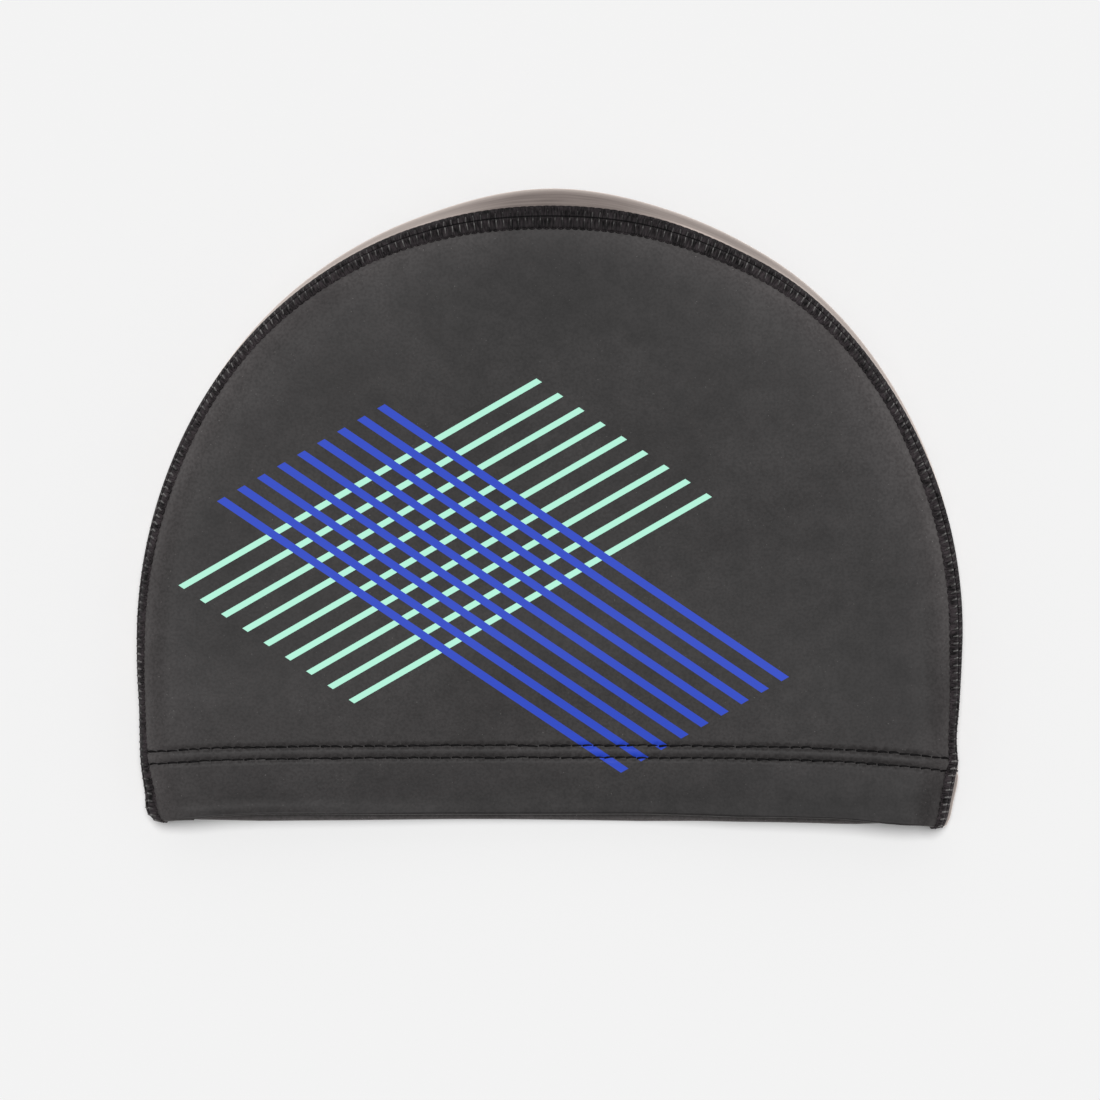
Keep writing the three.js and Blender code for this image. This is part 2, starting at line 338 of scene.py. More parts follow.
    def middle_height(self) -> float:
        """Height of the printed panel over the section's hub."""
        sizes = self.sizes
        share = min(max(self.depth / sizes.side_depth, 0), 1)
        sunk = share * share * (3 - 2 * share)
        return sizes.panel_height + (sizes.mouth_height - sizes.panel_height) * sunk

    def seam_start(self, side: Side) -> float:
        """Distance along the cloth where a side's seam starts, on the printed panel's side."""
        sizes = self.sizes
        return sizes.roll if side is Side.PRINTED else self.length - sizes.roll - sizes.seam


def travelled(line: np.ndarray) -> np.ndarray:
    """Gives how far along a line each of its points lies.

    Args:
        line: One point in each row.

    Returns:
        The distances from the first point.
    """
    return np.concatenate([[0], np.cumsum(np.linalg.norm(np.diff(line, axis=0), axis=1))])


@dataclass(frozen=True)
class Station:
    """A section with the wall that stands on it: its thickness, and how far it is pinched."""

    section: Section
    thickness: float
    pinch: float = 0.0


@dataclass(frozen=True)
class HemRows:
    """The turned-up hem, its two rows of stitches and how it lies at the mouth."""

    depths: tuple[float, float] = (28.3 * MM, 31.6 * MM)
    pitch: float = 2.95 * MM
    stitch: float = 2.72 * MM
    half_width: float = 0.26 * MM
    half_height: float = 0.2 * MM
    groove: float = 0.34 * MM
    groove_width: float = 0.5 * MM
    puff: float = 0.14 * MM
    short_from: float = 0.745
    raw_edge_margin: float = 1.0 * MM
    mouth: tuple[tuple[float, float, float], ...] = (
        (-104.5, 0.20, 0.30), (-101, 0.65, 0.60), (-95, 1.10, 0.10), (-89.5, 1.63, -0.10),
        (-79, 2.07, -0.45), (-68, 2.00, -0.50), (-54, 1.70, -0.55), (-41, 1.45, -0.50),
        (-27, 1.36, -0.45), (-13, 1.20, -0.50), (3, 1.20, -0.70), (25, 1.45, -0.90),
        (41, 1.36, -0.65), (52, 1.30, -0.65), (63, 1.60, -0.50), (74, 1.75, -0.40),
        (79, 1.75, -0.40), (84, 1.50, -0.25), (90, 1.00, 0.20), (95, 0.80, 0.60),
        (100, 0.80, 0.70), (102, 0.70, 0.60), (104.8, 0.20, 0.30),
    )

    def sink(self, depth: float) -> float:
        """How far the cloth is pulled in by the rows of stitches, or puffed out between them.

        Args:
            depth: How far below the widest line.

        Returns:
            The distance.
        """
        lines = sum(math.exp(-(((depth - row) / self.groove_width) ** 2)) for row in self.depths)
        middle = sum(self.depths) / 2
        span = (self.depths[1] - self.depths[0]) / 3
        return self.groove * lines - self.puff * math.exp(-(((depth - middle) / span) ** 2))

    def shortfall(self, side: Side, x: np.ndarray, share: float) -> np.ndarray:
        """How far a panel's hem is pulled back, or let out where it is negative.

        The printed panel lies a little short of the plain one, whose edge looks out under it.
        The mouth's rows hold a place across the hem, the printed panel's share and the plain
        one's, all in millimetres.

        Args:
            side: Which of the two panels.
            x: Places across the hem.
            share: The depth as a share of the full depth of the sides, from 0 to 1.

        Returns:
            The distances.
        """
        places, printed, plain = np.array(self.mouth).T * MM
        full = np.interp(x, places, printed if side is Side.PRINTED else plain)
        ramp = min(max((share - self.short_from) / (1 - self.short_from), 0.0), 1.0)
        return full * ramp**2


class Rim:
    """The sections all along the cap's rim, from the hem at the right to the hem at the left."""

    def __init__(self, sizes: CapSizes, hem: HemRows) -> None:
        """Measures the rim once.

        Args:
            sizes: The cap's sizes.
            hem: The hem's stitch rows.
        """
        self.sizes = sizes
        self.hem = hem
        self.places = np.linspace(-sizes.side_span, 180 + sizes.side_span, RIM_SAMPLES)
        sections = [Section(sizes, place) for place in self.places]
        self.runs = {side: self._run(sections, side) for side in Side}

    def _run(self, sections: Sequence[Section], side: Side) -> np.ndarray:
        """Measures a seam's groove from the hem at the right up to each section.

        Args:
            sections: The sections along the rim.
            side: Which of the two seams.

        Returns:
            The length up to each section.
        """
        line = np.array([
            section.cloth(np.array(section.seam_start(side) + self.sizes.seam_row))
            for section in sections
        ])
        return travelled(line)

    def run_at(self, place: float, side: Side) -> float:
        """The length of a seam's groove from the hem at the right up to a place."""
        return float(np.interp(place, self.places, self.runs[side]))

    def along_seam(self, side: Side, pitch: float) -> list[Section]:
        """Sections that stand evenly spaced along a seam.

        Args:
            side: Which of the two seams.
            pitch: About how far apart they stand.

        Returns:
            The sections, half a pitch from the hem at both ends.
        """
        run = self.runs[side]
        count = round(run[-1] / pitch)
        wanted = (np.arange(count) + 0.5) * run[-1] / count
        return [Section(self.sizes, place) for place in np.interp(wanted, run, self.places)]

    def face_lift(self, station: Station, outer: bool) -> float:
        """How far a face of the cloth stands out from its section, the hem's rows included.

        Args:
            station: The station.
            outer: Whether it is the outer face.

        Returns:
            The distance, below zero where the face lies further in.
        """
        depth, half = station.section.depth, station.thickness / 2
        if not outer:
            return -station.thickness + station.pinch * half
        in_hem = depth > self.sizes.raw_edge_depth - self.hem.raw_edge_margin
        return -station.pinch * half - (self.hem.sink(depth) if in_hem else 0.0)

    def _side_depths(self) -> list[tuple[float, float, float]]:
        """Lists the stations of a straight side, from the hem edge up.

        Returns:
            The depth, the layers of cloth and the pinch of each.
        """
        sizes, hem = self.sizes, self.hem
        edge_steps, hem_steps, row_steps, upper_steps = 5, 8, 19, 11
        radius = sizes.cloth
        rows = [
            (sizes.side_depth - radius * (1 - math.sin(turn)), 2.0, 1 - math.cos(turn))
            for turn in np.linspace(math.pi / 2, 0, edge_steps + 1)
        ]
        fine_start = hem.depths[1] + 3 * hem.groove_width
        fine_end = sizes.raw_edge_depth + 0.1 * MM
        above_start = sizes.raw_edge_depth - 0.3 * MM
        plain = np.linspace(sizes.side_depth - radius, fine_start, hem_steps + 1)[1:]
        fine = np.linspace(fine_start, fine_end, row_steps + 1)[1:]
        rows += [(depth, 2.0, 0.0) for depth in (*plain, *fine)]
        return rows + [(depth, 1.0, 0.0) for depth in np.linspace(above_start, 0, upper_steps + 1)]

    def stations(self, dome_steps: int) -> list[Station]:
        """Stations for a wall, close together at the hem and its stitches.

        Args:
            dome_steps: How many steps the dome takes.

        Returns:
            The stations from the hem at the right to the hem at the left.
        """
        sizes = self.sizes

        def side(right: bool) -> list[Station]:
            """The stations of one straight side, from the hem edge up."""
            return [
                Station(
                    Section(sizes, sizes.place_at_depth(depth, right)), layers * sizes.cloth, pinch
                )
                for depth, layers, pinch in self._side_depths()
            ]

        dome = np.linspace(0, 180, dome_steps + 1)[1:-1]
        middle = [Station(Section(sizes, angle), sizes.cloth) for angle in dome]
        return [*side(True), *middle, *reversed(side(False))]


def wall_grid(
    stations: Sequence[Station], skin: Callable[[Station, bool], Face], ring: bool
) -> Face:
    """Lays out a closed wall as one bent sheet: its outer skin and then its inner one.

    Args:
        stations: The stations, one for each column of the sheet.
        skin: Gives the points and the flat coordinates of a station's cloth, on the outer face
            where it is called with True.
        ring: Whether the wall is closed along both edges, or open at its middle.

    Returns:
        The points and the flat coordinates, both by column and row.
    """
    columns = []
    for station in stations:
        column = [
            np.vstack([outer, inner[::-1]])
            for outer, inner in zip(skin(station, True), skin(station, False))
        ]
        columns.append([np.vstack([part, part[:1]]) if ring else part for part in column])
    points, flats = zip(*columns)
    return np.array(points), np.array(flats)


def sheet_mesh(name: str, points: np.ndarray, flats: np.ndarray) -> bpy.types.Mesh:
    """Makes a mesh from a plane grid whose points are moved to their places.

    Args:
        name: The mesh's name.
        points: One point for each column and row of the grid.
        flats: The flat coordinates of the same points, kept as the mesh's UV map. A third
        number, which holds the side panels' painted light and shade and the strip's distance in
        from its seams, is kept as an attribute.

    Returns:
        The mesh, still open where its edges meet.
    """
    columns, rows = points.shape[:2]
    mesh = bpy.data.meshes.new(name)
    shape = bmesh.new()
    bmesh.ops.create_grid(shape, x_segments=columns - 1, y_segments=rows - 1, size=1.0)
    shape.loops.layers.uv.new("cloth")
    shape.to_mesh(mesh)
    shape.free()
    plane = np.empty(len(mesh.vertices) * 3)
    mesh.vertices.foreach_get("co", plane)
    places = (plane.reshape(-1, 3)[:, :2] + 1) / 2 * (columns - 1, rows - 1)
    column, row = np.rint(places).astype(int).T
    mesh.vertices.foreach_set("co", points[column, row].ravel())
    corner = np.empty(len(mesh.loops), dtype=np.int32)
    mesh.loops.foreach_get("vertex_index", corner)
    uvs = flats[column[corner], row[corner], :2]
    mesh.uv_layers["cloth"].data.foreach_set("uv", uvs.ravel())
    if flats.shape[2] == 3:
        edge = mesh.attributes.new(EDGE, "FLOAT", "POINT")
        edge.data.foreach_set("value", flats[column, row, 2])
    return mesh


def close_mesh(mesh: bpy.types.Mesh) -> None:
    """Closes a mesh where its edges meet, turns its faces outwards and smooths them.

    Args:
        mesh: The mesh, which is changed in place.
    """
    shape = bmesh.new()
    shape.from_mesh(mesh)
    bmesh.ops.remove_doubles(shape, verts=shape.verts, dist=0.002 * MM)
    bmesh.ops.dissolve_degenerate(shape, dist=0.001 * MM, edges=shape.edges)
    loose = [edge for edge in shape.edges if not edge.link_faces]
    bmesh.ops.delete(shape, geom=loose, context="EDGES")
    bmesh.ops.recalc_face_normals(shape, faces=shape.faces)
    for face in shape.faces:
        face.smooth = True
    shape.to_mesh(mesh)
    shape.free()


def make_piece(
    name: str, points: np.ndarray, flats: np.ndarray, material: bpy.types.Material
) -> bpy.types.Object:
    """Makes a piece of the cap from a grid of points.

    Args:
        name: The piece's name.
        points: One point for each column and row of the grid.
        flats: The flat coordinates of the same points.
        material: The piece's finish.

    Returns:
        The piece, riding on the cap's one body.
    """
    mesh = sheet_mesh(name, points, flats)
    close_mesh(mesh)
    mesh.materials.append(material)
    piece = bpy.data.objects.new(name, mesh)
    bpy.context.scene.collection.objects.link(piece)
    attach(piece, BODY)
    return piece


def thread_grid(
    paths: Sequence[np.ndarray],
    ups: Sequence[np.ndarray],
    half_widths: Sequence[float | np.ndarray],
    half_height: float,
    sides: int,
) -> Face:
    """Lays out threads along paths as one grid, each closed by a point at both ends.

    Args:
        paths: The points that each thread follows.
        ups: The cloth's outward directions at the same points.
        half_widths: Half of each thread's width along the cloth, one number or one for each
            of its points.
        half_height: Half of the threads' height above the cloth.
        sides: How many sides a thread has.

    Returns:
        The points by column and row, and the run and turn of each as flat coordinates.
    """
    turn = np.linspace(0, 2 * np.pi, sides + 1)
    around = turn / (2 * np.pi) * MM
    points, flats = [], []
    for path, up, half in zip(paths, ups, half_widths):
        tangent = np.gradient(path, axis=0)
        tangent /= np.linalg.norm(tangent, axis=1, keepdims=True)
        across = np.cross(tangent, up)
        across /= np.linalg.norm(across, axis=1, keepdims=True)
        rise = np.cross(across, tangent)
        wide = np.broadcast_to(half, len(path))
        ring = across[:, None] * (wide[:, None] * np.cos(turn))[..., None]
        ring = ring + rise[:, None] * (half_height * np.sin(turn))[None, :, None]
        tips = path[[0, -1]] + tangent[[0, -1]] * half_height * [[-0.5], [0.5]]
        start, end = np.repeat(tips[:, None], sides + 1, axis=1)
        points += [start[None], path[:, None] + ring, end[None]]
        run = travelled(path)[:, None]
        flat = np.stack(np.broadcast_arrays(run, around), axis=-1)
        flats.append(flat[[0, *range(len(path)), -1]])
    return np.concatenate(points), np.concatenate(flats)


class Nodes:
    """Short calls that build a material's node tree."""

    def __init__(self, tree: bpy.types.NodeTree) -> None:
        """Keeps the tree that the nodes go into."""
        self.tree = tree

    def add(self, kind: str, **settings: object) -> bpy.types.Node:
        """Adds a node and sets its own settings.

        Args:
            kind: Blender's name of the node's type.
            settings: The node's settings by name.

        Returns:
            The node.
        """
        node = self.tree.nodes.new(kind)
        for name, value in settings.items():
            setattr(node, name, value)
        return node

    def put(self, socket: Socket, value: Value) -> None:
        """Links a socket to another one, or gives it a value.

        Args:
            socket: The socket that takes the value.
            value: Another socket or a constant.
        """
        if isinstance(value, Socket):
            self.tree.links.new(value, socket)
        else:
            socket.default_value = value

    def feed(self, node: bpy.types.Node, values: dict[str, Value]) -> None:
        """Links or sets several of a node's inputs by name."""
        for name, value in values.items():
            self.put(node.inputs[name], value)

    def math(self, operation: str, *values: Value, clamp: bool = False) -> Socket:
        """Adds one step of arithmetic.

        Args:
            operation: Blender's name of the step.
            values: The numbers or sockets that it takes.
            clamp: Whether the result is kept between 0 and 1.

        Returns:
            The result.
        """
        node = self.add("ShaderNodeMath", operation=operation, use_clamp=clamp)
        for socket, value in zip(node.inputs, values):
            self.put(socket, value)
        return node.outputs[0]

    def blend(self, factor: Value, first: Value, second: Value) -> Socket:
        """Mixes two colours.

        Args:
            factor: The share of the second colour.
            first: The first colour.
            second: The second colour.

        Returns:
            The colour between them.
        """
        node = self.add("ShaderNodeMix", data_type="RGBA")
        for name, kind, value in (
            ("Factor", "VALUE", factor), ("A", "RGBA", first), ("B", "RGBA", second)
        ):
            socket = next(s for s in node.inputs if s.name == name and s.type == kind)
            self.put(socket, value)
        return next(s for s in node.outputs if s.type == "RGBA")

    def scaled(self, colour: Value, gain: Value) -> Socket:
        """A colour times a number."""
        node = self.add("ShaderNodeVectorMath", operation="SCALE")
        self.feed(node, {"Vector": colour, "Scale": gain})
        return node.outputs["Vector"]

    def noise(self, vector: Value, scale: Value, detail: float = 2.0) -> Socket:
        """A smooth noise between 0 and 1 at a point."""
        node = self.add("ShaderNodeTexNoise")
        self.feed(node, {"Vector": vector, "Scale": scale, "Detail": detail})
        return node.outputs["Fac"]

    def rescale(self, value: Value, low: float, high: float) -> Socket:
        """Spreads a range of a value over 0 to 1, clamped and with soft ends."""
        node = self.add("ShaderNodeMapRange", interpolation_type="SMOOTHSTEP")
        self.feed(node, {"Value": value, "From Min": low, "From Max": high})
        return node.outputs["Result"]

    def falloff(self, value: Value, low: float, high: float) -> Socket:
        """A number that falls from 1 to 0 over a range of a value."""
        return self.math("SUBTRACT", 1.0, self.rescale(value, low, high))

    def apart(self, value: Value, place: float) -> Socket:
        """How far a value is from a place."""
        return self.math("ABSOLUTE", self.math("SUBTRACT", value, place))

    def stretched(self, vector: Value, scale: tuple[float, float, float]) -> Socket:
        """A point with each of its coordinates scaled."""
        node = self.add("ShaderNodeMapping")
        self.feed(node, {"Vector": vector, "Scale": scale})
        return node.outputs["Vector"]

    def split(self, vector: Value) -> bpy.types.NodeOutputs:
        """The coordinates of a point, as outputs X, Y and Z."""
        node = self.add("ShaderNodeSeparateXYZ")
        self.put(node.inputs[0], vector)
        return node.outputs

    def along_seam(self) -> Socket:
        """The number that a piece keeps at its points: the side panels' painted light and shade,
        and the strip's distance in from its seams.
        """
        return self.add("ShaderNodeAttribute", attribute_name=EDGE).outputs["Fac"]

    def bump(
        self, height: Value, relief: tuple[float, float], under: Socket | None = None
    ) -> Socket:
        """Makes a normal that follows a height.

        Args:
            height: The height.
            relief: The bump's strength and its distance.
            under: The normal that it goes on top of, if there is one.

        Returns:
            The normal.
        """
        node = self.add("ShaderNodeBump")
        strength, distance = relief
        self.feed(node, {"Strength": strength, "Distance": distance, "Height": height})
        if under is not None:
            self.put(node.inputs["Normal"], under)
        return node.outputs["Normal"]


class Effect:
    """A shader effect that several finishes share, built once as a node group."""

    def __init__(self, name: str, inputs: dict[str, str], outputs: dict[str, str]) -> None:
        """Starts the group with its named sockets.

        Args:
            name: The group's name.
            inputs: The kind of each input by name.
            outputs: The kind of each output by name.
        """
        self.group = bpy.data.node_groups.new(name, "ShaderNodeTree")
        for way, sockets in (("INPUT", inputs), ("OUTPUT", outputs)):
            for socket, kind in sockets.items():
                self.group.interface.new_socket(socket, in_out=way, socket_type=kind)
        self.nodes = Nodes(self.group)
        self.inputs = self.nodes.add("NodeGroupInput").outputs
        self.results = self.nodes.add("NodeGroupOutput").inputs

    def use(self, nodes: Nodes, values: dict[str, Value]) -> bpy.types.NodeOutputs:
        """Puts the effect into a material.

        Args:
            nodes: The material's nodes.
            values: What each input takes, by name.

        Returns:
            The effect's outputs.
        """
        node = nodes.add("ShaderNodeGroup", node_tree=self.group)
        nodes.feed(node, values)
        return node.outputs


@cache
def coating_effect() -> Effect:
    """Builds the look of a coated knit: clouds, smudges, specks and lint, and painted light and
    shade that stand in for the light by the seams and the hem.

    Returns:
        The effect.
    """
    effect = Effect(
        "mottled coating with painted light",
        {"Point": VECTOR, "Painted Light": NUMBER, "Colour": COLOUR, "Lighter": COLOUR, "Darkest": COLOUR,
         "Lint": COLOUR},
        {"Colour": COLOUR, "Grain": NUMBER},
    )
    cloud_scale, smudge_scale, patch_scale = 38.0, 170.0, 30.0
    speck_scale, lint_scale, grain_scale = 1300.0, 2300.0, 1500.0
    smudge_depth, speck_share, lint_share = 0.9, 0.5, 0.3
    nodes, given = effect.nodes, effect.inputs
    point = given["Point"]
    clouds = nodes.rescale(nodes.noise(point, cloud_scale, 5.0), 0.32, 0.68)
    colour = nodes.blend(clouds, given["Colour"], given["Lighter"])
    speck = nodes.rescale(nodes.noise(point, speck_scale, 2.0), 0.35, 0.7)
    colour = nodes.blend(nodes.math("MULTIPLY", speck, speck_share), colour, given["Darkest"])
    fluff = nodes.rescale(nodes.noise(point, lint_scale, 0.0), 0.82, 0.9)
    colour = nodes.blend(nodes.math("MULTIPLY", fluff, lint_share), colour, given["Lint"])
    uneven = nodes.math("ADD", nodes.noise(point, patch_scale, 3.0), 0.5)
    smudge = nodes.math(
        "MULTIPLY_ADD", nodes.noise(point, smudge_scale, 4.0), smudge_depth, 1 - smudge_depth / 2
    )
    # Painted light and shade: the painted light share, patchy, makes the colour lighter, and
    # darker where it is below zero; the smudges vary it at random.
    gain = nodes.math("MULTIPLY_ADD", given["Painted Light"], uneven, smudge)
    nodes.put(effect.results["Colour"], nodes.scaled(colour, gain))
    nodes.put(effect.results["Grain"], nodes.noise(point, grain_scale, 3.0))
    return effect


@cache
def strands_effect() -> Effect:
    """Builds the look of spun thread: fine strands, and lighter or darker patches.

    Returns:
        The effect.
    """
    effect = Effect(
        "spun strands",
        {"Point": VECTOR, "Flat": VECTOR, "Patch Scale": NUMBER, "Colour": COLOUR,
         "Lighter": COLOUR},
        {"Colour": COLOUR, "Height": NUMBER},
    )
    strand_share = 0.65
    nodes, given = effect.nodes, effect.inputs
    strands = nodes.noise(given["Flat"], 1.0, 2.0)
    patches = nodes.noise(given["Point"], given["Patch Scale"], 1.0)
    tone = nodes.math("MULTIPLY", nodes.rescale(strands, 0.35, 0.72), strand_share)
    tone = nodes.math(
        "MULTIPLY_ADD", nodes.rescale(patches, 0.35, 0.7), 1 - strand_share, tone
    )
    nodes.put(effect.results["Colour"], nodes.blend(tone, given["Colour"], given["Lighter"]))
    nodes.put(effect.results["Height"], strands)
    return effect


def linear(colour: Rgb) -> tuple[float, float, float, float]:
    """Turns a screen colour into the linear colour that a shader takes.

    Args:
        colour: Red, green and blue, from 0 to 255.

    Returns:
        The linear colour, fully opaque.
    """
    screen = np.array(colour) / 255
    channels = np.where(screen <= 0.04045, screen / 12.92, ((screen + 0.055) / 1.055) ** 2.4)
    return (*channels.tolist(), 1.0)


def new_material(name: str) -> tuple[bpy.types.Material, Nodes, bpy.types.Node]:
    """A material with an empty node tree but for its shader.

    Args:
        name: The material's name.

    Returns:
        The material, its nodes and its Principled BSDF.
    """
    material = bpy.data.materials.new(name)
    material.use_nodes = True
    return material, Nodes(material.node_tree), material.node_tree.nodes["Principled BSDF"]


@dataclass(frozen=True)
class StripeRibbon:
    """A ribbon of even stripes, cut off at both ends along the other ribbon's direction."""

    colour: Rgb
    angle: float
    centre: tuple[float, float]
    half_span: float
    pitch: float
    width: float
    end_angle: float
    ends: tuple[float, float]

    def mask(self, nodes: Nodes, point: Socket) -> Socket:
        """Builds the ribbon's mask.

        Args:
            nodes: The material's nodes.
            point: The point in the cap's frame.

        Returns:
            A socket that is 1 on the stripes.
        """
        place = nodes.split(point)

        def across(angle: float) -> Socket:
            """Distance of the point from a line through the centre."""
            sine, cosine = math.sin(math.radians(angle)), math.cos(math.radians(angle))
            shift = self.centre[0] * sine - self.centre[1] * cosine
            side = nodes.math("MULTIPLY_ADD", place["X"], -sine, shift)
            return nodes.math("MULTIPLY_ADD", place["Y"], cosine, side)

        over = across(self.angle)
        along = across(self.end_angle)
        phase = nodes.math("PINGPONG", over, self.pitch / 2)
        line = nodes.math("LESS_THAN", phase, self.width / 2)
        inside = nodes.math("LESS_THAN", nodes.math("ABSOLUTE", over), self.half_span)
        after = nodes.math("GREATER_THAN", along, self.ends[0])
        before = nodes.math("LESS_THAN", along, self.ends[1])
        both = nodes.math("MULTIPLY", after, before)
        return nodes.math("MULTIPLY", nodes.math("MULTIPLY", line, inside), both)


@dataclass(frozen=True)
class CoatedCloth:
    """Matte coated knit of the side panels, with or without printed stripes."""

    name: str
    hem: HemRows
    hub_y: float
    ribbons: tuple[StripeRibbon, ...] = ()
    darkest: Rgb = (30, 28, 28)
    colour: Rgb = (45, 43, 43)
    lighter: Rgb = (50, 48, 48)
    lint: Rgb = (130, 128, 126)
    roughness: float = 0.6
    specular: float = 0.22
    sheen: float = 0.16
    sheen_roughness: float = 0.35
    sheen_tint: Rgb = (1.0, 0.94, 0.88)
    grain_relief: tuple[float, float] = (0.35, 0.1 * MM)
    row_relief: tuple[float, float] = (1.0, 0.45 * MM)
    row_reach: tuple[float, float] = (0.2 * MM, 1.5 * MM)
    ripple: tuple[float, float, float] = (900.0, 350.0, 1.0)
    ripple_offset: float = 0.8
    beat_share: float = 0.2

    def _puckers(self, nodes: Nodes, flat: Socket) -> Socket:
        """Builds the height of the uneven grooves that the stitches pull in.

        Args:
            nodes: The material's nodes.
            flat: The point on the flat cloth.

        Returns:
            The height.
        """
        place = nodes.split(flat)
        ripple = nodes.noise(nodes.stretched(flat, self.ripple), 1.0, 2.0)
        ripple = nodes.math("SUBTRACT", ripple, self.ripple_offset)
        beat = nodes.math(
            "SINE", nodes.math("MULTIPLY", place["X"], 2 * math.pi / self.hem.pitch)
        )
        beat = nodes.math("MULTIPLY_ADD", beat, self.beat_share, ripple)
        grooves = [
            nodes.falloff(nodes.apart(place["Y"], self.hub_y - depth), *self.row_reach)
            for depth in self.hem.depths
        ]
        return nodes.math("MULTIPLY", nodes.math("ADD", *grooves), beat)

    def make(self) -> bpy.types.Material:
        """Builds the finish.

        Returns:
            The material.
        """
        material, nodes, shader = new_material(self.name)
        coords = nodes.add("ShaderNodeTexCoord").outputs
        coating = coating_effect().use(nodes, {
            "Point": coords["Object"],
            # the panel's painted light and shade, kept at its points
            "Painted Light": nodes.along_seam(),
            "Colour": linear(self.colour),
            "Lighter": linear(self.lighter),
            "Darkest": linear(self.darkest),
            "Lint": linear(self.lint),
        })
        colour = coating["Colour"]
        for ribbon in self.ribbons:
            mask = ribbon.mask(nodes, coords["Object"])
            colour = nodes.blend(mask, colour, linear(ribbon.colour))
        grain = nodes.bump(coating["Grain"], self.grain_relief)
        nodes.feed(shader, {
            "Base Color": colour,
            "Roughness": self.roughness,
            "Specular IOR Level": self.specular,
            "Sheen Weight": self.sheen,
            "Sheen Roughness": self.sheen_roughness,
            "Sheen Tint": (*self.sheen_tint, 1.0),
            "Normal": nodes.bump(self._puckers(nodes, coords["UV"]), self.row_relief, grain),
        })
        return material


@dataclass(frozen=True)
class SatinKnit:
    """Satin knit of the centre strip, with fine streaks along it.

    It is paler in a thin line along each seam, away from the crown. Where it turns out of sight
    it is painted paler still: a painted sheen that stands in for the bright surroundings it
    reflects at a grazing view.
    """

    name: str = "taupe satin knit"
    colour: Rgb = (90, 81, 78)
    lighter: Rgb = (117, 107, 103)
    streak: tuple[float, float, float] = (60.0, 1500.0, 1.0)
    # A thin pale line along each seam, away from the crown.
    seam_line: Rgb = (204, 188, 180)
    seam_line_share: float = 0.8
    seam_line_reach: tuple[float, float] = (0.7 * MM, 1.4 * MM)
    seam_line_from: tuple[float, float] = (12 * MM, 40 * MM)
    patches: tuple[float, float, float] = (45.0, 1.0, 1.0)
    # Painted sheen: the pale colour mixed in where the strip turns away from view.
    rim: Rgb = (236, 219, 209)
    painted_sheen_gain: float = 1.35
    roughness: float = 0.42
    sheen: float = 0.8
    sheen_roughness: float = 0.25
    sheen_tint: Rgb = (1.0, 0.93, 0.88)
    relief: tuple[float, float] = (0.3, 0.1 * MM)

    def make(self) -> bpy.types.Material:
        """Builds the finish.

        Returns:
            The material.
        """
        material, nodes, shader = new_material(self.name)
        coords = nodes.add("ShaderNodeTexCoord").outputs
        streak = nodes.noise(nodes.stretched(coords["UV"], self.streak), 1.0, 3.0)
        tone = nodes.rescale(streak, 0.3, 0.7)
        colour = nodes.blend(tone, linear(self.colour), linear(self.lighter))
        # A thin pale line along the seams, patchy, and only away from the crown.
        near = nodes.falloff(nodes.along_seam(), *self.seam_line_reach)
        patchy = nodes.noise(nodes.stretched(coords["UV"], self.patches), 1.0)
        patchy = nodes.math("MULTIPLY", nodes.rescale(patchy, 0.4, 0.6), self.seam_line_share)
        away = nodes.rescale(nodes.apart(nodes.split(coords["Object"])["X"], 0.0),
                             *self.seam_line_from)
        near = nodes.math("MULTIPLY", nodes.math("MULTIPLY", near, patchy), away)
        colour = nodes.blend(near, colour, linear(self.seam_line))
        # Painted sheen: the colour goes towards the pale rim colour as the strip turns away from
        # view.
        turned = nodes.add("ShaderNodeLayerWeight").outputs["Facing"]
        turned = nodes.math("MULTIPLY", turned, turned)
        turned = nodes.math("MULTIPLY", turned, self.painted_sheen_gain, clamp=True)
        nodes.feed(shader, {
            "Base Color": nodes.blend(turned, colour, linear(self.rim)),
            "Roughness": self.roughness,
            "Sheen Weight": self.sheen,
            "Sheen Roughness": self.sheen_roughness,
            "Sheen Tint": (*self.sheen_tint, 1.0),
            "Normal": nodes.bump(streak, self.relief),
        })
        return material


@dataclass(frozen=True)
class SewingThread:
    """Spun polyester thread, in single strands or massed over a seam.

    The grain gives the streaks per metre of run and of width, and the patch the size of the
    places where the thread looks lighter or darker. It is painted lighter by the painted side
    light with each metre from the middle of the cap: painted light, brighter at the sides.
    """

    name: str
    colour: Rgb
    lighter: Rgb
    grain: tuple[float, float] = (2500.0, 2500.0)
    groove: float = 0.0
    groove_reach: tuple[float, float] = (0.1 * MM, 0.4 * MM)
    groove_colour: Rgb = (6, 5, 6)
    patch: float = 330.0
    side_gain: float = 0.0
    relief: tuple[float, float] = (0.8, 0.1 * MM)
    roughness: float = 0.7
    specular: float = 0.12

    def make(self) -> bpy.types.Material:
        """Builds the finish.

        Returns:
            The material.
        """
        material, nodes, shader = new_material(self.name)
        coords = nodes.add("ShaderNodeTexCoord").outputs
        strands = strands_effect().use(nodes, {
            "Point": coords["Object"],
            "Flat": nodes.stretched(coords["UV"], (*self.grain, 1.0)),
            "Patch Scale": self.patch,
            "Colour": linear(self.colour),
            "Lighter": linear(self.lighter),
        })
        colour = strands["Colour"]
        # Painted light: the thread is painted lighter with each metre towards the sides.
        if self.side_gain:
            away = nodes.apart(nodes.split(coords["Object"])["X"], 0.0)
            colour = nodes.scaled(colour, nodes.math("MULTIPLY_ADD", away, self.side_gain, 1.0))
        if self.groove:
            off = nodes.apart(nodes.split(coords["UV"])["Y"], self.groove)
            dark = nodes.falloff(off, *self.groove_reach)
            colour = nodes.blend(dark, colour, linear(self.groove_colour))
        nodes.feed(shader, {
            "Base Color": colour,
            "Roughness": self.roughness,
            "Specular IOR Level": self.specular,
            "Normal": nodes.bump(strands["Height"], self.relief),
        })
        return material


